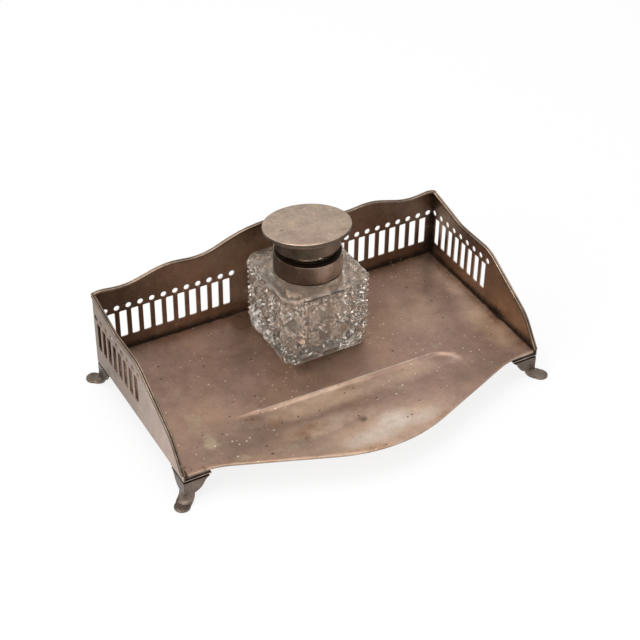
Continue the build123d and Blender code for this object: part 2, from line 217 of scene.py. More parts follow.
def seen_directly(tree):
    """One where the camera, a reflection or glass looks, and nought for soft light."""
    path = node(tree, "LightPath")
    eyes = calc(tree, "MAXIMUM", path.outputs["Is Camera Ray"], path.outputs["Is Glossy Ray"])
    return calc(tree, "MAXIMUM", eyes, path.outputs["Is Transmission Ray"])


def floor_material():
    made = bpy.data.materials.new("white_paper")
    made.use_nodes = True
    tree = made.node_tree
    tree.nodes.clear()
    lit = node(tree, "BsdfDiffuse")
    fill(tree, lit, Color=grey(PAPER))
    white = node(tree, "Emission")
    fill(tree, white, Color=grey(1.0), Strength=1.0)
    both = node(tree, "MixShader")
    feed(tree, both.inputs[0], calc(tree, "MULTIPLY", seen_directly(tree), FLOOR_GLOW))
    feed(tree, both.inputs[1], lit.outputs[0])
    feed(tree, both.inputs[2], white.outputs[0])
    out = node(tree, "OutputMaterial")
    feed(tree, out.inputs["Surface"], both.outputs[0])
    return made


def new_piece(name, shape, material):
    """Turn a finished bmesh into an object at the origin."""
    mesh = bpy.data.meshes.new(name)
    shape.to_mesh(mesh)
    shape.free()
    made = bpy.data.objects.new(name, mesh)
    bpy.context.scene.collection.objects.link(made)
    mesh.materials.append(material)
    print(name + ":", len(mesh.polygons), "faces")
    return made


disc = bmesh.new()
bmesh.ops.create_circle(disc, cap_ends=True, segments=64, radius=FLOOR_RADIUS)
floor = new_piece("floor", disc, floor_material())

# %% [markdown]
# The world is a dim, even light from all round. Two soft boxes do the rest: a large
# one above, and a weaker one on the left.

# %% The world and the lamps
WORLD_LIGHT = 0.6
world = bpy.data.worlds.new("studio")
bpy.context.scene.world = world
world.use_nodes = True
sky = world.node_tree
sky.nodes.clear()
background = node(sky, "Background")
sky_light = fade(sky, seen_directly(sky), 0.0, 1.0, WORLD_LIGHT, 1.0)
fill(sky, background, Color=grey(1.0), Strength=sky_light)
sky_out = node(sky, "OutputWorld")
feed(sky, sky_out.inputs["Surface"], background.outputs[0])


def soft_box(name, place, aim, width, height, power):
    """A large rectangular lamp at place that faces the point aim."""
    light = bpy.data.lights.new(name, "AREA")
    light.shape = "RECTANGLE"
    light.size = width
    light.size_y = height
    light.energy = power
    lamp = bpy.data.objects.new(name, light)
    bpy.context.scene.collection.objects.link(lamp)
    lamp.location = place
    lamp.rotation_euler = (Vector(aim) - Vector(place)).to_track_quat("-Z", "Y").to_euler()
    print(name + ":", power, "W")


soft_box("overhead_box", (-0.15, 0.10, 1.10), (0, 0, 0), width=0.9, height=0.7, power=7.0)
soft_box("left_box", (-0.95, -0.25, 0.55), (0, 0, 0.02), width=0.5, height=0.5, power=3.0)

# %% [markdown]
# ## Tarnished silver
#
# Old silver isn't one colour. A brown to mauve film of tarnish lies over it in soft
# clouds, with olive patches, rust, darker blots, fine mottling, tiny white specks and
# dark pits. Where hands and cloths rub it, the film wears through to pale metal, and
# in corners dirt stays. The same pale metal also paints highlights, and the same dark
# colour paints shade in corners, grooves and under parts. All the silver pieces share
# this, so it is one node group. The places of the wear, the highlights, the dirt and
# the shade differ from piece to piece: each material works them out as masks and hands
# them to the group.

# %% The group's colours and sockets
PALE_SILVER = (0.66, 0.54, 0.44, 1.0)
BROWN_FILM = (0.330, 0.212, 0.150, 1.0)
MAUVE_FILM = (0.300, 0.196, 0.152, 1.0)
OLIVE_FILM = (0.335, 0.258, 0.181, 1.0)
RUST_FILM = (0.300, 0.150, 0.075, 1.0)
DARK_FILM = (0.050, 0.030, 0.020, 1.0)
SPECK_WHITE = (0.78, 0.70, 0.58, 1.0)
INPUTS = {
    "Film": BROWN_FILM, "Second Film": MAUVE_FILM, "Wear and Highlight": 0.0, "Dirt and Shade": 0.0,
    "Olive": 0.0, "Rust": 0.0, "Mottle": 0.30, "Specks": 1.0,
}
OUTPUTS = {"Color": "Color", "Roughness": "Float", "Height": "Float"}
print("the group takes", ", ".join(INPUTS))


# %% Spots and shades
def spots(tree, place, scale, size, share):
    """Small round spots: in each cell of a Voronoi pattern, if its random number is high."""
    cells = node(tree, "TexVoronoi")
    feed(tree, cells.inputs["Vector"], place)
    cells.inputs["Scale"].default_value = scale
    near = fade(tree, cells.outputs["Distance"], size, size * 0.5)
    lot = node(tree, "SeparateColor")
    feed(tree, lot.inputs[0], cells.outputs["Color"])
    chosen = calc(tree, "GREATER_THAN", lot.outputs[0], 1 - share)
    return calc(tree, "MULTIPLY", near, chosen)


def shaded(tree, colour, shade):
    """A colour made lighter or darker by a number about one."""
    tint = node(tree, "CombineColor")
    for channel in range(3):
        feed(tree, tint.inputs[channel], shade)
    return blend_colours(tree, 1.0, colour, tint.outputs[0], "MULTIPLY")


# %% Layers of colour
def films(group, into, place):
    """The film's clouds, with olive patches, rust and dark blots over them."""
    clouds =noise(group, place, 22, 4, 0.6, 0.5)
    colour = blend_colours(group, fade(group, clouds, 0.38, 0.62), into["Film"], into["Second Film"])
    patches = noise(group, moved(group, place, (3, 1, 7)), 75, 6, 0.68, 0.3)
    lift = calc(group, "SUBTRACT", patches, 0.5)
    olive = fade(group, calc(group, "MULTIPLY_ADD", lift, 1.6, into["Olive"]), 0.25, 0.75)
    colour = blend_colours(group, calc(group, "MULTIPLY", olive, 0.8), colour, OLIVE_FILM)
    blots = noise(group, moved(group, place, (9, 4, 2)), 60, 6, 0.72, 0.2)
    depth = calc(group, "SUBTRACT", blots, 0.5)
    rust = fade(group, calc(group, "MULTIPLY_ADD", depth, 2.4, into["Rust"]), 0.30, 0.95)
    colour = blend_colours(group, calc(group, "MULTIPLY", rust, 0.7), colour, RUST_FILM)
    colour = blend_colours(group, fade(group, blots, 0.62, 0.80, 0.0, 0.5), colour, DARK_FILM)
    return colour, patches, lift, depth


def mottled(group, into, place, colour, lift):
    """Fine grain and small clouds that make the colour lighter and darker."""
    grain =noise(group, place, 620, 4, 0.75)
    cloud = noise(group, moved(group, place, (2, 6, 1)), 190, 4, 0.7)
    shade = calc(group, "MULTIPLY_ADD", calc(group, "SUBTRACT", grain, 0.5), 1.4, 1.0)
    shade = calc(group, "MULTIPLY_ADD", calc(group, "SUBTRACT", cloud, 0.5), 1.6, shade)
    shade = calc(group, "MULTIPLY_ADD", lift, 1.5, shade)
    shade = calc(group, "MULTIPLY_ADD", calc(group, "SUBTRACT", shade, 1.0), into["Mottle"], 1.0)
    return shaded(group, colour, shade), grain, cloud


def handled(group, into, colour, lift, depth):
    """Pale metal where the film is rubbed away and where highlights are painted; grime, and painted
    shade, where the masks put them.
    """
    # The rubbed mask carries real wear and painted highlights alike.
    rubbed =fade(group, calc(group, "MULTIPLY_ADD", lift, 1.1, into["Wear and Highlight"]), 0.15, 0.95)
    colour = blend_colours(group, rubbed, colour, PALE_SILVER)
    grime_and_shade = fade(group, calc(group, "MULTIPLY_ADD", depth, 1.6, into["Dirt and Shade"]), 0.20, 0.80)
    return blend_colours(group, grime_and_shade, colour, DARK_FILM), rubbed, grime_and_shade


# %% Specks and pits
def specked(group, into, place, colour):
    """White specks, gathered in places, and dark pits, none of them quite round."""
    gathered = noise(group, moved(group, place, (4, 4, 8)), 34, 3, 0.6)
    gathered = fade(group, gathered, 0.42, 0.60, 0.2, 1.0)
    shaken = noise(group, moved(group, place, (6, 3, 3)), 900, 2, 0.5)
    jitter = node(group, "VectorMath", operation="SCALE")
    feed(group, jitter.inputs[0], (mm(1.0), mm(0.8), mm(0.9)))
    feed(group, jitter.inputs["Scale"], shaken)
    ragged = node(group, "VectorMath", operation="ADD")
    feed(group, ragged.inputs[0], place)
    feed(group, ragged.inputs[1], jitter.outputs[0])
    ragged = ragged.outputs[0]
    white = calc(group, "MULTIPLY", spots(group, ragged, 520, 0.27, 0.20), gathered)
    big_white = spots(group, moved(group, ragged, (7, 2, 4)), 190, 0.12, 0.06)
    white = calc(group, "MULTIPLY", strongest(group, white, big_white), into["Specks"])
    colour = blend_colours(group, calc(group, "MULTIPLY", white, 0.70), colour, SPECK_WHITE)
    pits = spots(group, moved(group, ragged, (5, 5, 5)), 380, 0.24, 0.06)
    big_pits = spots(group, moved(group, ragged, (1, 9, 3)), 120, 0.14, 0.05)
    pits = calc(group, "MULTIPLY", strongest(group, pits, big_pits), into["Specks"])
    return blend_colours(group, calc(group, "MULTIPLY", pits, 0.8), colour, DARK_FILM), white, pits


# %% The node group that every silver piece uses
def build_tarnish_group():
    group = bpy.data.node_groups.new("tarnish", "ShaderNodeTree")
    for name, value in INPUTS.items():
        kind = "Float" if isinstance(value, float) else "Color"
        socket = group.interface.new_socket(name=name, in_out="INPUT", socket_type="NodeSocket" + kind)
        socket.default_value = value
    for name, kind in OUTPUTS.items():
        group.interface.new_socket(name=name, in_out="OUTPUT", socket_type="NodeSocket" + kind)
    into = group.nodes.new("NodeGroupInput").outputs
    place = node(group, "TexCoord").outputs["Object"]
    colour, patches, lift, depth = films(group, into, place)
    colour, grain, cloud = mottled(group, into, place, colour, lift)
    colour, rubbed, grime_and_shade = handled(group, into, colour, lift, depth)
    colour, white, pits = specked(group, into, place, colour)

    rough =calc(group, "MULTIPLY_ADD", patches, 0.30, 0.26)
    rough = calc(group, "MULTIPLY_ADD", grime_and_shade, 0.25, rough)
    rough = calc(group, "MULTIPLY_ADD", rubbed, -0.10, rough)
    dents = noise(group, moved(group, place, (1, 8, 3)), 30, 1, 0.4)
    height = calc(group, "MULTIPLY", dents, mm(0.10))
    height = calc(group, "MULTIPLY_ADD", grain, mm(0.008), height)
    height = calc(group, "MULTIPLY_ADD", cloud, mm(0.012), height)
    height = calc(group, "MULTIPLY_ADD", pits, -mm(0.03), height)
    height = calc(group, "MULTIPLY_ADD", white, mm(0.02), height)

    out = group.nodes.new("NodeGroupOutput").inputs
    feed(group, out["Color"], colour)
    feed(group, out["Roughness"], rough)
    feed(group, out["Height"], height)
    return group


tarnish = build_tarnish_group()
print("tarnish group:", len(tarnish.nodes), "nodes")

# %% [markdown]
# A silver material is then short. It reads the object's coordinates, works out its
# masks, places the group and joins it to a Principled shader. Metallic is 1, because
# a film this thin still mirrors what stands round it. The height goes through a Bump
# node whose distance is one metre, so that heights in the group are true lengths.


# %% A silver material
PATCH_SOFT = 0.8           # share of a mark's radius over which it fades


def silver(name, masks=None, **values):
    """Material from the tarnish group. masks(tree, place, x, y, z) returns its sockets."""
    made = bpy.data.materials.new(name)
    made.use_nodes = True
    tree = made.node_tree
    shader = tree.nodes["Principled BSDF"]
    film = tree.nodes.new("ShaderNodeGroup")
    film.node_tree = tarnish
    for socket, value in values.items():
        film.inputs[socket.replace("_", " ")].default_value = value
    if masks:
        place = node(tree, "TexCoord").outputs["Object"]
        axes = node(tree, "SeparateXYZ")
        feed(tree, axes.inputs[0], place)
        for socket, mask in masks(tree, place, *axes.outputs).items():
            feed(tree, film.inputs[socket], mask)
    shader.inputs["Metallic"].default_value = 1.0
    feed(tree, shader.inputs["Base Color"], film.outputs["Color"])
    feed(tree, shader.inputs["Roughness"], film.outputs["Roughness"])
    bump = node(tree, "Bump")
    bump.inputs["Distance"].default_value = 1.0
    feed(tree, bump.inputs["Height"], film.outputs["Height"])
    feed(tree, shader.inputs["Normal"], bump.outputs[0])
    return made


def paint(material, *names):
    """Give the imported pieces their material, in the slots that their objects have."""
    for name in names:
        for place in nodes[name].material_slots:
            place.material = material
    print(material.name, "on", ", ".join(names))


def patch(tree, x, y, centre, radii, strength):
    """A soft oval mark, strongest at its centre and gone at its radii."""
    across = calc(tree, "DIVIDE", calc(tree, "SUBTRACT", x, mm(centre[0])), mm(radii[0]))
    along = calc(tree, "DIVIDE", calc(tree, "SUBTRACT", y, mm(centre[1])), mm(radii[1]))
    return fade(tree, hypotenuse(tree, across, along), 1.0, 1.0 - PATCH_SOFT, 0.0, strength)


def from_axis(tree, x, y, centre):
    """Distance from an upright axis."""
    across = calc(tree, "SUBTRACT", x, centre.x)
    along = calc(tree, "SUBTRACT", y, centre.y)
    return hypotenuse(tree, across, along)


# %% [markdown]
# ## The tray's floor
#
# The real floor was pressed by hand: the trough has one crisp edge along its back and
# runs out softly everywhere else, and the sheet isn't quite flat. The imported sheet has
# the trough with straight slopes. Here the same outline is filled with a fine grid,
# one row of it on the crisp edge, and each vertex is lowered by a smooth function.
# A thickness and a small bevel make it a sheet again.

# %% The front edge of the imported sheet
packed_sheet = nodes["tray_plate"].data
front_edge = set()
for polygon in packed_sheet.polygons:
    if polygon.normal.y < -0.2 and abs(polygon.normal.z) < 0.05:
        for index in polygon.vertices:
            point = packed_sheet.vertices[index].co
            front_edge.add((round(point.x, 6), round(point.y, 6)))
front_edge = sorted(front_edge)
front_xs = [x for x, y in front_edge]
crown = min(y for x, y in front_edge)
print("front edge:", len(front_edge), "points, crown at", round(crown * 1000, 1), "mm")


def front_y(x):
    """Where the sheet's front edge lies at x."""
    after = min(max(bisect.bisect(front_xs, x), 1), len(front_edge) - 1)
    (x0, y0), (x1, y1) = front_edge[after - 1:after + 1]
    return y0 + (y1 - y0) * (x - x0) / (x1 - x0)


# %% The form of the pressing
TROUGH_EDGE = plate_high.y - mm(69.5)   # its crisp back edge, at the tray's middle
TROUGH_LEAN = -0.022       # the pressing isn't quite square to the tray
TROUGH_LEFT = mm(-46)
TROUGH_RIGHT = mm(45)
TROUGH_END = mm(11.5)      # radius of the round right end
TROUGH_WIDTH = mm(25)
TROUGH_DEPTH = mm(1.15)
TROUGH_CURVE = 1.6         # above one, the slope flattens out towards the front
LEFT_START = TROUGH_LEFT - mm(12)   # the open left end deepens from here
LEFT_FULL = TROUGH_LEFT + mm(8)
STEP_LENGTH = mm(1.3)      # over which the step falls most of its depth
DENT = mm(0.16)
DENT_SCALE = 28
DENT_START = mm(1)         # how far from a wall the dents begin
DENT_FULL = mm(12)


def smooth(value, start, stop):
    """Nought up to start, one from stop, with an eased change."""
    share = min(max((value - start) / (stop - start), 0), 1)
    return share * share * (3 - 2 * share)


def trough_line(x):
    return TROUGH_EDGE + TROUGH_LEAN * x


def pressed(x, y):
    """How far the floor is pressed down at a point."""
    inside = trough_line(x) - y
    to_front = inside
    if x > TROUGH_RIGHT:
        reach = math.hypot(x - TROUGH_RIGHT, max(TROUGH_END - inside, 0))
        inside = TROUGH_END - reach
    if inside <= 0 or to_front >= TROUGH_WIDTH:
        return 0
    step = 1 - math.exp(-inside / STEP_LENGTH)
    slope = (1 - to_front / TROUGH_WIDTH) ** TROUGH_CURVE
    left_end = smooth(x, LEFT_START, LEFT_FULL)
    return TROUGH_DEPTH * step * slope * left_end


def dented(x, y):
    """Slow waves in the sheet, none beside the walls, where it is held."""
    held = min(plate_high.x - abs(x), plate_high.y - y)
    wave = field.noise(Vector((x * DENT_SCALE, y * DENT_SCALE, 3.0))) * 0.5 + 0.5
    return DENT * wave * smooth(held, DENT_START, DENT_FULL)


# %% Hard and smooth edges
def sharp_edges(shape, angle):
    return [edge for edge in shape.edges if edge.is_manifold and edge.calc_face_angle() > angle]


def shade_smooth(shape, angle):
    """Smooth shading, with the edges past an angle kept sharp."""
    for face in shape.faces:
        face.smooth = True
    for edge in sharp_edges(shape, angle):
        edge.smooth = False


# %% [markdown]
# The grid's rows follow the trough's edge, so that the crisp step lies on a row of
# vertices. They are closest together in front of it, where the sheet bends most.

# %% Make the sheet
SHEET_COLUMNS = 156
FRONT_ROWS = 34
BACK_ROWS = 46
ROW_CROWDING = 1.6
SHEET = mm(1.0)
SHEET_BEVEL = mm(0.16)
SHEET_BORDER = math.radians(60)    # edges that get the bevel
SHEET_SHARP = math.radians(35)
sheet_rows = FRONT_ROWS + BACK_ROWS


def sheet_y(x, row):
    """Rows crowd towards the trough's edge from the front and are even behind it."""
    line = trough_line(x)
    if row <= FRONT_ROWS:
        return line - (line - front_y(x)) * (1 - row / FRONT_ROWS) ** ROW_CROWDING
    return line + (plate_high.y - line) * (row - FRONT_ROWS) / BACK_ROWS


sheet = bmesh.new()
bmesh.ops.create_grid(sheet, x_segments=SHEET_COLUMNS, y_segments=sheet_rows, size=0.5)
for vertex in sheet.verts:
    x = plate_low.x + (plate_high.x - plate_low.x) * (vertex.co.x + 0.5)
    y = sheet_y(x, round((vertex.co.y + 0.5) * sheet_rows))
    vertex.co = (x, y, plate_high.z - pressed(x, y) - dented(x, y))
bmesh.ops.solidify(sheet, geom=sheet.faces[:], thickness=SHEET)
sheet.normal_update()
border = sharp_edges(sheet, SHEET_BORDER)
bmesh.ops.bevel(sheet, geom=border, offset=SHEET_BEVEL, offset_type="OFFSET",
                segments=2, profile=0.5, affect="EDGES", material=-1)
sheet.normal_update()
shade_smooth(sheet, SHEET_SHARP)

# Each vertex keeps how far it is behind the front edge, for the wear and the crust there.
from_front = sheet.verts.layers.float.new("from_front")
for vertex in sheet.verts:
    vertex[from_front] = vertex.co.y - front_y(vertex.co.x)
print("sheet:", len(sheet.faces), "faces")

# %% [markdown]
# The floor is the largest surface, so its marks are placed one by one: olive smears
# on the left, rusty stains by the trough's left end, a polished place in the middle
# of the front, painted brighter as a reflection, with a dark spot beside it, crust along
# the walls and painted shade where they meet the floor.

# %% The floor's marks
FLOOR_MARKS = {
    "Olive": [
        ((-67, 12), (9, 9), 0.45), ((-73, -8), (6, 18), 0.56), ((-70, -22), (5, 18), 0.56),
        ((-64, -38), (10, 5), 0.52), ((-43, -42), (24, 5), 0.58), ((-76, 14), (5, 5), 0.6),
        ((38, 13), (14, 12), 0.30), ((50, -11), (3, 9), 0.55), ((10, -30), (40, 7), 0.35),
        ((-52, -20), (12, 8), 0.38),
    ],
    "Rust": [
        ((-28, -35), (16, 7), 0.62), ((-21, -57), (7, 3), 0.6), ((14, -60), (9, 3), 0.6),
        ((40, -52), (14, 4), 0.5), ((-40, -24), (9, 6), 0.5), ((-60, 40), (24, 6), 0.42),
        ((-5, -40), (5, 4), 0.5), ((62, 11), (5, 5), 0.4),
    ],
    # Besides rubbed places, the wear marks in the middle of the front paint the bright reflection there.
    "Wear and Highlight": [
        ((54, -22), (7, 7), 0.38), ((2, -48), (18, 7), 0.25), ((-12, -36), (34, 10), 0.30),
    ],
    "Dirt and Shade": [
        ((-5.5, -40), (5.6, 4.4), 0.56), ((-91, 16), (12, 40), 0.78),
    ],
}
# The film is thin in the middle of the front and along the right wall, and thick in
# both front corners. The trough's light colour is a painted reflection, and the polished
# place where the front is rubbed is painted brighter still, as a reflection over the polish.
THICK_FILM = (0.235, 0.158, 0.118, 1.0)
THIN_FILM = (0.545, 0.392, 0.287, 1.0)
TROUGH_REFLECTION = (0.660, 0.480, 0.355, 1.0)
POLISH_AND_REFLECTION = (0.555, 0.455, 0.378, 1.0)
THICK_MARKS = [((-62, -28), (34, 20), 1.0), ((-34, -42), (26, 12), 0.3), ((60, -36), (26, 11), 1.0)]
THIN_MARKS = [
    ((32, -22), (22, 8), 0.5), ((0, -50), (60, 18), 0.6), ((-24, -36), (26, 10), 0.8),
    ((-10, -56), (40, 8), 0.6), ((82, -8), (13, 34), 1.0), ((84, 24), (9, 26), 0.8),
    ((58, 16), (24, 30), 0.35),
]
TROUGH_REFLECTION_MARKS = [((-14, -21), (42, 9), 1.0)]
POLISH_AND_REFLECTION_MARKS = [((8, -47), (14, 9), 1.0), ((-6, -52), (22, 7), 0.8), ((18, -51), (12, 6), 0.6)]
FILM_MARKS = [
    (THICK_MARKS, THICK_FILM), (THIN_MARKS, THIN_FILM),
    (TROUGH_REFLECTION_MARKS, TROUGH_REFLECTION), (POLISH_AND_REFLECTION_MARKS, POLISH_AND_REFLECTION),
]
LINE_WIDTH = mm(0.75)
WANDER = mm(14)            # how far the borders of the marks wander
CRUST_SCALE = 330


def floor_masks(tree, place, x, y, z):
    ragged = calc(tree, "MULTIPLY_ADD", noise(tree, place, 60, 5, 0.65), WANDER, -WANDER / 2)
    ragged_x = calc(tree, "ADD", x, ragged)
    ragged_y = calc(tree, "MULTIPLY_ADD", ragged, 0.5, y)

    def marked(marks):
        return strongest(tree, *[patch(tree, ragged_x, ragged_y, *mark) for mark in marks])

    masks = {socket: marked(marks) for socket, marks in FLOOR_MARKS.items()}
    side = calc(tree, "SUBTRACT", plate_high.x, calc(tree, "ABSOLUTE", x))
    back = calc(tree, "SUBTRACT", plate_high.y, y)
    near_wall = calc(tree, "MINIMUM", side, back)
    # Painted shade in a thin line where the floor meets the walls.
    junction_shade = fade(tree, near_wall, mm(3.2), mm(0.1), 0.0, 0.95)
    behind_edge = node(tree, "Attribute", attribute_name="from_front").outputs["Fac"]
    crusty = strongest(tree, fade(tree, near_wall, mm(9), mm(3)),
                       fade(tree, behind_edge, mm(5), mm(1), 0.0, 0.85))
    crust = fade(tree, noise(tree, place, CRUST_SCALE, 5, 0.8), 0.55, 0.70, 0.0, 0.75)
    crust = calc(tree, "MULTIPLY", crusty, crust)
    masks["Dirt and Shade"] = strongest(tree, masks["Dirt and Shade"], junction_shade, crust)
    masks["Rust"] = strongest(tree, masks["Rust"], calc(tree, "MULTIPLY", crusty, 0.45))

    # The trough's crisp edge gets a painted highlight over its wear, and the sheet's front edge is
    # rubbed.
    line = calc(tree, "MULTIPLY_ADD", x, -TROUGH_LEAN, calc(tree, "SUBTRACT", y, TROUGH_EDGE))
    crest_highlight_and_wear = fade(tree, calc(tree, "ABSOLUTE", line), LINE_WIDTH, 0.0)
    ends = calc(tree, "MULTIPLY", fade(tree, x, mm(-60), mm(-38)), fade(tree, x, mm(54), mm(42)))
    crest_highlight_and_wear = calc(tree, "MULTIPLY", crest_highlight_and_wear, ends)
    masks["Wear and Highlight"] = strongest(tree, masks["Wear and Highlight"], calc(tree, "MULTIPLY", crest_highlight_and_wear, 0.55),
                              fade(tree, behind_edge, mm(0.4), 0.0, 0.0, 0.40))
    films = [(marked(marks), film) for marks, film in FILM_MARKS]
    for socket, colour in (("Film", BROWN_FILM), ("Second Film", MAUVE_FILM)):
        for mask, film in films:
            colour = blend_colours(tree, mask, colour, film)
        masks[socket] = colour
    return masks


floor_silver = silver("floor_silver", floor_masks)
tray_floor = new_piece("tray_floor", sheet, floor_silver)
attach(tray_floor, "tray")
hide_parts("tray_plate")

# %% [markdown]
# ## Gallery, rims and feet
#
# The inner sides of the gallery are the darkest, and darker still towards both ends of
# the back wall, with painted shade at their foot and in the back corners. The outer
# sides are handled, so they are paler, most of all towards the front.

# %% The gallery
back_low, back_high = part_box("gallery_back")
left_low, left_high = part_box("gallery_left")
INNER_FILM = (0.345, 0.226, 0.151, 1.0)
INNER_SECOND = (0.300, 0.201, 0.140, 1.0)
INNER_DARK = (0.095, 0.066, 0.049, 1.0)
OUTER_FILM = (0.45, 0.335, 0.275, 1.0)
OUTER_BACK = (0.24, 0.178, 0.138, 1.0)
HALF_SHEET = mm(0.3)       # half the thickness of the gallery's sheet


def streaks(tree, place, scale, squash=0.06):
    """Noise drawn out along the upright direction."""
    return noise(tree, moved(tree, place, scale=(1, 1, squash)), scale, 4, 0.6)


def gallery_masks(tree, place, x, y, z):
    outside = strongest(
        tree,
        calc(tree, "GREATER_THAN", calc(tree, "ABSOLUTE", x), HALF_SHEET - left_high.x),
        calc(tree, "GREATER_THAN", y, back_high.y - HALF_SHEET),
    )
    outer = blend_colours(tree, fade(tree, y, mm(35), mm(-20)), OUTER_BACK, OUTER_FILM)
    # Painted shade at the foot of the inner sides, where they meet the floor, and in the back corners.
    foot = fade(tree, z, plate_high.z + mm(6), plate_high.z, 0.0, 0.55)
    from_side = calc(tree, "SUBTRACT", plate_high.x, calc(tree, "ABSOLUTE", x))
    from_back = calc(tree, "SUBTRACT", back_high.y, y)
    corner = fade(tree, calc(tree, "ADD", from_side, from_back), mm(12), mm(1), 0.0, 0.6)
    across = calc(tree, "SUBTRACT", x, mm(15))
    across = calc(tree, "MULTIPLY_ADD", streaks(tree, place, 60, 0.5), mm(30), across)
    ends = strongest(tree, fade(tree, across, mm(-38), mm(-80), 0.0, 0.9),
                     fade(tree, across, mm(15), mm(60), 0.0, 0.55))
    ends = calc(tree, "MULTIPLY", ends, fade(tree, y, mm(50), mm(54)))
    inner = blend_colours(tree, ends, INNER_FILM, INNER_DARK)
    inner_second = blend_colours(tree, ends, INNER_SECOND, INNER_DARK)
    runs = fade(tree, streaks(tree, place, 260), 0.50, 0.80, 0.0, 0.35)
    inside = calc(tree, "SUBTRACT", 1.0, outside)
    # This dirt mask holds that painted shade as well as the upright runs of dirt.
    dirt = calc(tree, "MULTIPLY", strongest(tree, foot, corner, runs), inside)
    drawn_out = moved(tree, place, rotation=(0.5, 0, 0), scale=(1, 0.12, 1))
    scratched = fade(tree, noise(tree, drawn_out, 420, 3), 0.55, 0.75)
    scratched = calc(tree, "MULTIPLY", scratched, outside)
    return {
        "Film": blend_colours(tree, outside, inner, outer),
        "Second Film": blend_colours(tree, outside, inner_second, outer),
        "Dirt and Shade": dirt,
        "Wear and Highlight": calc(tree, "MULTIPLY", scratched, 0.45),
    }


gallery_silver = silver("gallery_silver", gallery_masks, Specks=0.5, Mottle=0.4)
paint(gallery_silver, "gallery_back", "gallery_left", "gallery_right")

# %% [markdown]
# The wire on the crest has dirt in the groove between its two reeds and is rubbed on
# top of each.

# %% The reeded wire
GROOVE = mm(0.28)
REED_TOP = mm(0.62)        # from the wire's middle to the top of each reed
REED_WORN = mm(0.3)


def rim_masks(tree, place, x, y, z):
    side_middle = (left_low.x + left_high.x) / -2
    back_middle = (back_low.y + back_high.y) / 2
    beside = off_by(tree, calc(tree, "ABSOLUTE", x), side_middle)
    behind = off_by(tree, y, back_middle)
    across = calc(tree, "MINIMUM", beside, behind)
    groove = fade(tree, across, GROOVE, GROOVE * 0.3, 0.0, 0.8)
    ridge = fade(tree, off_by(tree, across, REED_TOP), REED_WORN, 0.0, 0.0, 0.40)
    return {"Dirt and Shade": groove, "Wear and Highlight": ridge}


rim_silver = silver("rim_silver", rim_masks, Film=(0.22, 0.160, 0.118, 1.0),
                    Second_Film=(0.16, 0.115, 0.084, 1.0), Mottle=0.6, Specks=0.4)
paint(rim_silver, "rim_back", "rim_left", "rim_right")

# %% [markdown]
# The feet are cast, coarser in the grain, with real crust. A painted shadow darkens the groove under the
# tray, and a painted highlight lights the bead above it.

# %% The feet
SEAM = plate_high.z - mm(2.5)   # the lower edge of the gallery sheet
FOOT_BEAD = SEAM - mm(0.35)
FOOT_GROOVE = SEAM - mm(1.15)


def foot_masks(tree, place, x, y, z):
    # Painted shadow in the groove between the tray's moulding and the foot.
    groove = fade(tree, off_by(tree, z, FOOT_GROOVE), mm(0.8), mm(0.2), 0.0, 0.9)
    crust = fade(tree, noise(tree, place, CRUST_SCALE, 5, 0.8), 0.55, 0.75, 0.0, 0.75)
    # Painted highlight along the bead at the tray's lower edge.
    bead_highlight = fade(tree, off_by(tree, z, FOOT_BEAD), mm(0.3), 0.0, 0.0, 0.55)
    heel = fade(tree, z, mm(1.6), mm(0.6), 0.0, 0.35)
    return {"Dirt and Shade": strongest(tree, groove, crust), "Wear and Highlight": bead_highlight, "Rust": heel}


foot_silver = silver("foot_silver", foot_masks, Film=(0.20, 0.152, 0.124, 1.0),
                     Second_Film=(0.135, 0.110, 0.090, 1.0), Mottle=0.8, Specks=0.6)
paint(foot_silver, "foot_front_left", "foot_front_right", "foot_back_left", "foot_back_right")

# %% [markdown]
# ## Collar and lid
#
# The collar is darker than the lid's top, with upright streaks: painted shade on the
# left and a painted reflection on the right. Its top edge is rubbed bright by the lid,
# and painted shade darkens its inner ledge and its foot on the glass. The low ring
# inside it, the bezel, is painted nearly black as the shade in the gap under the lid.

# %% The collar
collar_low, collar_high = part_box("neck_collar")
collar_centre = (collar_low + collar_high) / 2
collar_radius = (collar_high.x - collar_low.x) / 2
# Dark on the left as painted shade, light on the right as a painted reflection.
COLLAR_FILMS_SHADE_TO_LIGHT = (
    (0.120, 0.082, 0.060, 1.0),
    (0.135, 0.090, 0.066, 1.0),
    (0.420, 0.300, 0.235, 1.0),
)
# Painted shade and reflection as on the collar: darkest in the middle, lighter on the right.
SKIRT_FILMS_SHADE_TO_LIGHT = (
    (0.125, 0.090, 0.068, 1.0),
    (0.082, 0.059, 0.041, 1.0),
    (0.160, 0.108, 0.080, 1.0),
)


def round_the_collar(tree, x, y):
    """From the left, where the painted shade is darkest, to the right, where a reflection is painted."""
    to_right = calc(tree, "MULTIPLY_ADD", calc(tree, "SUBTRACT", y, collar_centre.y), -0.58,
                    calc(tree, "SUBTRACT", x, collar_centre.x))
    return calc(tree, "DIVIDE", to_right, collar_radius)


def films_shade_to_light(tree, place, x, y, films):
    """Three colours from left to right, tarnish with painted shade and a painted reflection, their
    borders broken by upright streaks.
    """
    left, middle, right = films
    turn = round_the_collar(tree, x, y)
    broken = calc(tree, "SUBTRACT", streaks(tree, place, 150, 0.03), 0.5)
    turn = calc(tree, "MULTIPLY_ADD", broken, 1.1, turn)
    film = blend_colours(tree, fade(tree, turn, -0.75, -0.1), left, middle)
    return blend_colours(tree, fade(tree, turn, 0.05, 0.75), film, right)


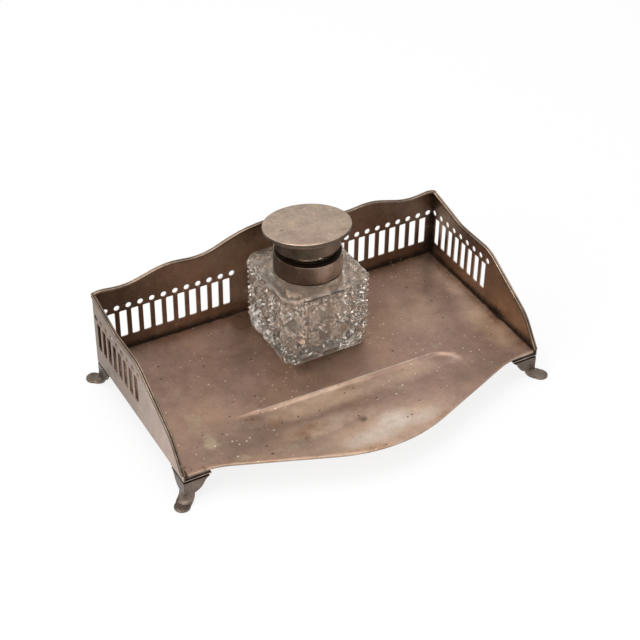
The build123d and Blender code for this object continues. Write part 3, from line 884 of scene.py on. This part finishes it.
def collar_masks(tree, place, x, y, z):
    radius = from_axis(tree, x, y, collar_centre)
    # Painted shade on the inner ledge under the lid and at the foot where the collar meets the glass.
    ledge = calc(tree, "MULTIPLY", fade(tree, radius, collar_radius - mm(0.35), collar_radius - mm(0.7)),
                 fade(tree, z, collar_high.z - mm(0.5), collar_high.z - mm(0.1)))
    foot = fade(tree, z, collar_low.z + mm(1.6), collar_low.z, 0.0, 0.7)
    rubbed = fade(tree, z, collar_high.z - mm(0.45), collar_high.z - mm(0.05), 0.0, 0.8)
    border = fade(tree, radius, collar_radius - mm(0.7), collar_radius - mm(0.3))
    rubbed = calc(tree, "MULTIPLY", rubbed, border)
    film = films_shade_to_light(tree, place, x, y, COLLAR_FILMS_SHADE_TO_LIGHT)
    return {"Film": film, "Second Film": film, "Dirt and Shade": strongest(tree, ledge, foot), "Wear and Highlight": rubbed}


collar_silver = silver("collar_silver", collar_masks, Mottle=0.5, Specks=0.5)
paint(collar_silver, "neck_collar", "collar_hinge_leaf", "hinge_pin", "lid_hinge_leaf")
# Painted shade: the bezel is nearly black to stand for the shade in the gap under the lid.
bezel_painted_shade = silver("bezel_painted_shade", None, Film=(0.030, 0.022, 0.017, 1.0),
                      Second_Film=(0.022, 0.016, 0.012, 1.0), Specks=0.3)
paint(bezel_painted_shade, "collar_bezel")

# %% [markdown]
# The lid's top is worn by thumbs to a mottled beige, with a brighter edge and a side
# painted dark as shade. It and the stepped moulding under it were turned on a lathe, so
# each is one profile spun round the lid's axis and then leaned back as the lid stands
# ajar. Their masks need the lid's own heights, so the coordinates are turned level
# again first.

# %% Sizes and colours of the lid
lid_low, lid_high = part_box("lid_plate")
lid_centre = (lid_low + lid_high) / 2
lid_radius = (lid_high.x - lid_low.x) / 2
AJAR = math.radians(7.3)
LID_TOP_FILM = (0.385, 0.285, 0.216, 1.0)
LID_SECOND_FILM = (0.360, 0.275, 0.203, 1.0)
LID_WARM_FILM = (0.380, 0.271, 0.211, 1.0)
# Painted shade on the plate's upright side.
LID_SIDE_SHADE = (0.130, 0.096, 0.071, 1.0)
PLATE_HALF = mm(0.65)      # half the plate's thickness
PLATE_BEVEL = mm(0.2)
LID_PROFILE = [(19.8, 0.65), (20.2, 0.45), (20.2, -0.5), (20.05, -0.65)]
MOULDING_PROFILE = [
    (14.2, -0.67), (19.95, -0.67), (20.05, -0.85), (20.05, -1.45), (19.9, -1.6), (19.55, -1.65),
    (19.5, -2.05), (18.2, -2.75), (17.9, -3.1), (16.2, -3.55), (15.5, -4.1), (15.4, -4.6), (14.95, -4.65),
    (14.95, -1.74), (14.2, -1.74),
]
LID_STEPS = 128
LID_SHARP = math.radians(20)
WELD = mm(0.001)
UNDER_PLATE = mm(-0.7)     # painted shade lines, as heights from the middle of the plate
MOULDING_STEP = mm(-1.65)
SKIRT_TOP = mm(-4.7)
print("lid", round(lid_radius * 2000, 1), "mm across,", round(math.degrees(AJAR), 1), "degrees ajar")


# %% The look of the lid's top
def on_lid(tree, place):
    """The lid's own coordinates: its plate's centre at nought, its tilt turned level."""
    level = Matrix.Rotation(AJAR, 3, "X")
    turned = moved(tree, place, location=-(level @ lid_centre), rotation=(AJAR, 0, 0))
    axes = node(tree, "SeparateXYZ")
    feed(tree, axes.inputs[0], turned)
    return axes.outputs


def lid_masks(tree, place, x, y, z):
    across, along, height = on_lid(tree, place)
    radius = hypotenuse(tree, across, along)
    side = fade(tree, height, PLATE_HALF - PLATE_BEVEL * 0.5, PLATE_HALF - PLATE_BEVEL * 1.5)
    warm = patch(tree, across, along, (-5, -11), (20, 11), 1.0)
    edge = fade(tree, radius, lid_radius - mm(0.6), lid_radius - mm(0.3))
    worn = fade(tree, noise(tree, place, 300, 3), 0.35, 0.60, 0.0, 0.28)
    rubbed = calc(tree, "MULTIPLY", edge, calc(tree, "MULTIPLY", worn, calc(tree, "SUBTRACT", 1.0, side)))
    pitted = fade(tree, noise(tree, place, 420, 5, 0.8), 0.55, 0.68, 0.0, 0.70)
    outer = fade(tree, radius, lid_radius * 0.55, lid_radius * 0.90, 0.2, 1.0)
    pitted = calc(tree, "MULTIPLY", pitted, outer)
    # Painted shade in a line under the plate's edge.
    line = fade(tree, off_by(tree, height, UNDER_PLATE), mm(0.3), mm(0.05), 0.0, 0.7)
    masks = {"Wear and Highlight": rubbed, "Dirt and Shade": strongest(tree, pitted, line)}
    for socket, film in (("Film", LID_TOP_FILM), ("Second Film", LID_SECOND_FILM)):
        top = blend_colours(tree, warm, film, LID_WARM_FILM)
        masks[socket] = blend_colours(tree, side, top, LID_SIDE_SHADE)
    return masks


# %% Turn the lid's top
def turned_ring(profile, closed):
    """Turn a profile of (radius, height) round the lid's own axis and lean it as the lid leans."""
    shape = bmesh.new()
    points = [shape.verts.new((mm(radius), 0, mm(height))) for radius, height in profile]
    pairs = list(zip(points, points[1:]))
    if closed:
        pairs.append((points[-1], points[0]))
    edges = [shape.edges.new(pair) for pair in pairs]
    bmesh.ops.spin(shape, geom=points + edges, axis=(0, 0, 1), cent=(0, 0, 0), angle=math.tau,
                   steps=LID_STEPS, use_merge=True)
    bmesh.ops.remove_doubles(shape, verts=shape.verts, dist=WELD)
    bmesh.ops.holes_fill(shape, edges=[edge for edge in shape.edges if edge.is_boundary], sides=0)
    bmesh.ops.recalc_face_normals(shape, faces=shape.faces)
    bmesh.ops.rotate(shape, verts=shape.verts, cent=(0, 0, 0), matrix=Matrix.Rotation(-AJAR, 3, "X"))
    bmesh.ops.translate(shape, verts=shape.verts, vec=lid_centre)
    shape.normal_update()
    shade_smooth(shape, LID_SHARP)
    return shape


lid_silver = silver("lid_silver", lid_masks, Olive=0.2, Mottle=0.5, Specks=0.5)
lid_top = new_piece("turned_lid", turned_ring(LID_PROFILE, False), lid_silver)
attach(lid_top, "lid")
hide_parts("lid_plate")


# %% Moulding and skirt
def skirt_masks(tree, place, x, y, z):
    film = films_shade_to_light(tree, place, x, y, SKIRT_FILMS_SHADE_TO_LIGHT)
    height = on_lid(tree, place)[2]
    # Painted shade along the top of the skirt, under the moulding.
    under_moulding = fade(tree, off_by(tree, height, SKIRT_TOP), mm(0.35), mm(0.1), 0.0, 0.55)
    return {"Film": film, "Second Film": film, "Dirt and Shade": under_moulding}


def moulding_masks(tree, place, x, y, z):
    height = on_lid(tree, place)[2]
    # Painted shade under the plate and in the moulding's step.
    under_plate = fade(tree, height, UNDER_PLATE - mm(0.25), UNDER_PLATE, 0.0, 0.6)
    in_step = fade(tree, off_by(tree, height, MOULDING_STEP), mm(0.25), mm(0.05), 0.0, 0.6)
    return {"Dirt and Shade": strongest(tree, under_plate, in_step)}


skirt_silver = silver("skirt_silver", skirt_masks, Mottle=0.5, Specks=0.1)
paint(skirt_silver, "lid_skirt")
moulding_silver = silver("moulding_silver", moulding_masks, Film=(0.145, 0.106, 0.078, 1.0),
                         Second_Film=(0.105, 0.078, 0.058, 1.0), Mottle=0.6, Specks=0.2)
moulding = new_piece("turned_moulding", turned_ring(MOULDING_PROFILE, True), moulding_silver)
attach(moulding, "lid")
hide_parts("lid_moulding")

# %% [markdown]
# ## The cut glass
#
# On a real well a wheel cuts V grooves into the blank: two families of slanting
# mitres that cross and leave lozenges, wide upright mitres through them, and a finer
# set that cuts every other lozenge into small points. Here the four sides and four
# flat corners are one grid, laid out flat first. Every vertex gets a depth from the
# grooves that pass it, each square is split along the groove, and then the grid is
# wrapped round the well's plan. Rings extruded from its upper edge make the shoulder,
# the neck and the hollow inside, so the well is one closed skin of glass.

# %% Sizes of the cutting
well_low, well_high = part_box("glass_well")
WELL_SIDE = well_high.x - well_low.x
WELL_AXIS = (well_low + well_high) / 2
WELL_CORNER = mm(4.6)      # flat across each upright corner
WELL_EDGE = mm(1.0)        # bevel of the shoulder and the base
SHOULDER = well_low.z + mm(37.3)
LOZENGE = 8                # grid steps across one lozenge
SIDE_STEPS = 3 * LOZENGE
CORNER_STEPS = LOZENGE // 2
TURN_STEPS = SIDE_STEPS + CORNER_STEPS
COLUMNS = 4 * TURN_STEPS
STEP = (WELL_SIDE - 2 * WELL_CORNER) / SIDE_STEPS
FOOT_BAND = mm(4.6)        # height of the plain facets along the base
FOOT_CUT = mm(0.9)         # how far they slope in
FOOT_ROWS = 3
CUT_ROWS = 19              # rows of the lozenges
MITRE_DEPTH = mm(1.9)
POINT_DEPTH = mm(0.95)
UPRIGHT_DEPTH = mm(1.8)
CORNER_SHARE = 0.5         # the cuts are half as deep on the flat corners
UPRIGHTS = [LOZENGE // 2 + LOZENGE * turn for turn in range(3)]
print("lozenge", round(STEP * LOZENGE * 1000, 2), "mm wide,", COLUMNS, "columns")


# %% How deep the grooves are at a grid point
def to_groove(steps):
    """Distance in steps to the nearest slanting mitre, which come every half lozenge."""
    rest = steps % (LOZENGE / 2)
    return min(rest, LOZENGE / 2 - rest)


def lozenge_depth(column, row):
    """Plain lozenges rise to a point; every other one is cut into small points."""
    first, second = (column + row) / 2, (column - row) / 2
    reach = min(to_groove(first), to_groove(second))
    on_line = (column + row) % 2 == 0
    crosscut = (first // (LOZENGE / 2) + second // (LOZENGE / 2)) % 2 == 0
    if reach == 0:
        return MITRE_DEPTH
    if crosscut:
        return POINT_DEPTH if on_line else 0.0
    return MITRE_DEPTH * (1 - reach / (LOZENGE / 4))


def upright_depth(column):
    """Wide upright mitres through the middle of each lozenge."""
    off = min(abs(column % TURN_STEPS - upright) for upright in UPRIGHTS)
    return UPRIGHT_DEPTH * (1 - off / 2)


def foot_depth(column, row):
    """Facets that slope in towards the base, parted by notches between the uprights."""
    down = -row / FOOT_ROWS
    off_notch = min(abs(column % TURN_STEPS - notch) for notch in range(0, TURN_STEPS, LOZENGE))
    notch = MITRE_DEPTH * max(0, 1 - off_notch / 2) * (0.4 + 0.6 * down)
    return max(FOOT_CUT * down, notch)


def cut_depth(column, row):
    if row > CUT_ROWS:
        return 0.0
    if row < 0:
        return foot_depth(column, row)
    if row == 0:
        return FOOT_CUT
    if column % TURN_STEPS >= SIDE_STEPS:
        return lozenge_depth(column, row) * CORNER_SHARE
    return max(lozenge_depth(column, row), upright_depth(column))


# %% The well's plan
def well_plan(column, inset):
    """Point of the well's outline, a square with flat corners, drawn in by inset."""
    turn, along = divmod(column % COLUMNS, TURN_STEPS)
    half_side = WELL_SIDE / 2 - inset
    half_flat = WELL_SIDE / 2 - WELL_CORNER - inset * (math.sqrt(2) - 1)
    if along <= SIDE_STEPS:
        point = Vector((half_flat * (2 * along / SIDE_STEPS - 1), -half_side, 0))
    else:
        share = (along - SIDE_STEPS) / CORNER_STEPS
        point = Vector((half_flat, -half_side, 0)).lerp(Vector((half_side, -half_flat, 0)), share)
    point.rotate(Matrix.Rotation(turn * math.pi / 2, 3, "Z"))
    return point


def on_axis(point, height):
    return Vector((WELL_AXIS.x + point.x, WELL_AXIS.y + point.y, height))


def round_plan(column, radius):
    """The point of a circle in the same direction as the outline's point."""
    return well_plan(column, 0).normalized() * radius


def rounded_plan(column, half_side, corner):
    """The same for a square with round corners: a square's point, rounded off."""
    point = well_plan(column, 0)
    point *= half_side / max(abs(point.x), abs(point.y))
    inner = half_side - corner
    if abs(point.x) > inner and abs(point.y) > inner:
        centre = Vector((math.copysign(inner, point.x), math.copysign(inner, point.y), 0))
        point = centre + (point - centre).normalized() * corner
    return point


# %% Heights and radii of the well
FOOT_EDGE = well_low.z + WELL_EDGE
CUT_LOW = FOOT_EDGE + FOOT_BAND
BASE_GAP = mm(0.05)        # keeps the glass clear of the silver under it
NECK_RADIUS = mm(12.4)
BORE_RADIUS = mm(8.6)
INK_HALF = mm(15.5)
INK_CORNER = mm(8.0)
INK_FLOOR = well_low.z + mm(7.0)
INK_CEILING = SHOULDER - mm(5.0)


def row_height(row):
    """Rows of the foot fill its band; the rows of lozenges are as high as they are wide."""
    if row < 0:
        return CUT_LOW + (CUT_LOW - FOOT_EDGE) * row / FOOT_ROWS
    return CUT_LOW + STEP * row


# %% Cut the sides
well = bmesh.new()
rows = FOOT_ROWS + CUT_ROWS + 1
bmesh.ops.create_grid(well, x_segments=COLUMNS, y_segments=rows, size=0.5)
column_of = well.verts.layers.int.new("column")
row_of = well.verts.layers.int.new("row")
for vertex in well.verts:
    vertex[column_of] = round((vertex.co.x + 0.5) * COLUMNS)
    vertex[row_of] = round((vertex.co.y + 0.5) * rows) - FOOT_ROWS
on_grooves = [vertex for vertex in well.verts if (vertex[column_of] + vertex[row_of]) % 2 == 0]
bmesh.ops.connect_verts(well, verts=on_grooves)
for vertex in well.verts:
    column, row = vertex[column_of], vertex[row_of]
    vertex.co = on_axis(well_plan(column, cut_depth(column, row)), row_height(row))
bmesh.ops.remove_doubles(well, verts=well.verts, dist=WELD)
print("sides:", len(well.faces), "faces")


# %% Close the well
def rim_of(shape, height):
    """Open edges at a height."""
    return [edge for edge in shape.edges
            if edge.is_boundary and all(abs(vertex.co.z - height) < mm(0.01) for vertex in edge.verts)]


def next_ring(shape, edges, place):
    """Extrude a ring of open edges and put each new vertex where place(column) says."""
    grown = bmesh.ops.extrude_edge_only(shape, edges=edges)["geom"]
    for part in grown:
        if isinstance(part, bmesh.types.BMVert):
            part.co = place(part[column_of])
    return [part for part in grown if isinstance(part, bmesh.types.BMEdge) and part.is_boundary]


base = next_ring(well, rim_of(well, FOOT_EDGE),
                 lambda column: on_axis(well_plan(column, 2 * WELL_EDGE), well_low.z + BASE_GAP))
bmesh.ops.edgeloop_fill(well, edges=base)
ring = rim_of(well, row_height(CUT_ROWS + 1))
for place in (
    lambda column: on_axis(well_plan(column, 0), SHOULDER - WELL_EDGE),
    lambda column: on_axis(well_plan(column, WELL_EDGE), SHOULDER),
    lambda column: on_axis(round_plan(column, NECK_RADIUS), SHOULDER),
    lambda column: on_axis(round_plan(column, NECK_RADIUS), well_high.z),
    lambda column: on_axis(round_plan(column, BORE_RADIUS), well_high.z),
    lambda column: on_axis(round_plan(column, BORE_RADIUS), INK_CEILING),
    lambda column: on_axis(rounded_plan(column, INK_HALF, INK_CORNER), INK_CEILING),
    lambda column: on_axis(rounded_plan(column, INK_HALF, INK_CORNER), INK_FLOOR),
):
    ring = next_ring(well, ring, place)
bmesh.ops.edgeloop_fill(well, edges=ring)
bmesh.ops.recalc_face_normals(well, faces=well.faces)
open_edges = sum(not edge.is_manifold for edge in well.edges)
print("cut glass:", len(well.faces), "faces,", open_edges, "open edges")

# %% [markdown]
# The cut sides are clear and crisp, and their reflections are tinted warm, a painted sheen for the silver
# round them.
# The shoulder is hazy from years of cleaning, and dried ink makes the neck dark.

# %% The glass
CLEAR_GLASS = (1.0, 0.950, 0.885, 1.0)
SHOULDER_GLASS = (0.90, 0.79, 0.66, 1.0)
INKY_GLASS = (0.06, 0.045, 0.035, 1.0)
GLASS_SHEEN = (1.0, 0.88, 0.74, 1.0)
TRANSMISSION = 0.94
GLASS_IOR = 1.56
SHOULDER_HAZE = 0.16       # roughness of the shoulder
HAZE_HEIGHTS = (SHOULDER - mm(0.6), SHOULDER - mm(0.1))
INK_HEIGHTS = (SHOULDER + mm(1.5), SHOULDER + mm(4))
glass = bpy.data.materials.new("cut_glass")
glass.use_nodes = True
glass_tree = glass.node_tree
glass_shader = glass_tree.nodes["Principled BSDF"].inputs
# Painted sheen: the glass's reflections are tinted warm.
glass_shader["Specular Tint"].default_value = GLASS_SHEEN
glass_shader["Transmission Weight"].default_value = TRANSMISSION
glass_shader["IOR"].default_value = GLASS_IOR
glass_place = node(glass_tree, "TexCoord").outputs["Object"]
glass_axes = node(glass_tree, "SeparateXYZ")
feed(glass_tree, glass_axes.inputs[0], glass_place)
glass_height = glass_axes.outputs[2]
on_top = fade(glass_tree, glass_height, *HAZE_HEIGHTS)
feed(glass_tree, glass_shader["Roughness"], calc(glass_tree, "MULTIPLY", on_top, SHOULDER_HAZE))
in_neck = fade(glass_tree, glass_height, *INK_HEIGHTS)
glass_colour = blend_colours(glass_tree, on_top, CLEAR_GLASS, SHOULDER_GLASS)
glass_colour = blend_colours(glass_tree, in_neck, glass_colour, INKY_GLASS)
feed(glass_tree, glass_shader["Base Color"], glass_colour)

cut_well = new_piece("cut_glass_well", well, glass)
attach(cut_well, "well")
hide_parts("glass_well")

# %% [markdown]
# The plaster that holds the collar on the neck can't be seen, so it gets one plain
# colour.

# %% The cement
PLASTER = (0.6, 0.56, 0.48, 1.0)
plaster = bpy.data.materials.new("plaster")
plaster.use_nodes = True
plaster.node_tree.nodes["Principled BSDF"].inputs["Base Color"].default_value = PLASTER
paint(plaster, "neck_cement")

# %% [markdown]
# The colours are shown as they are, with no film look.

# %% Finish
bpy.context.scene.view_settings.view_transform = "Standard"
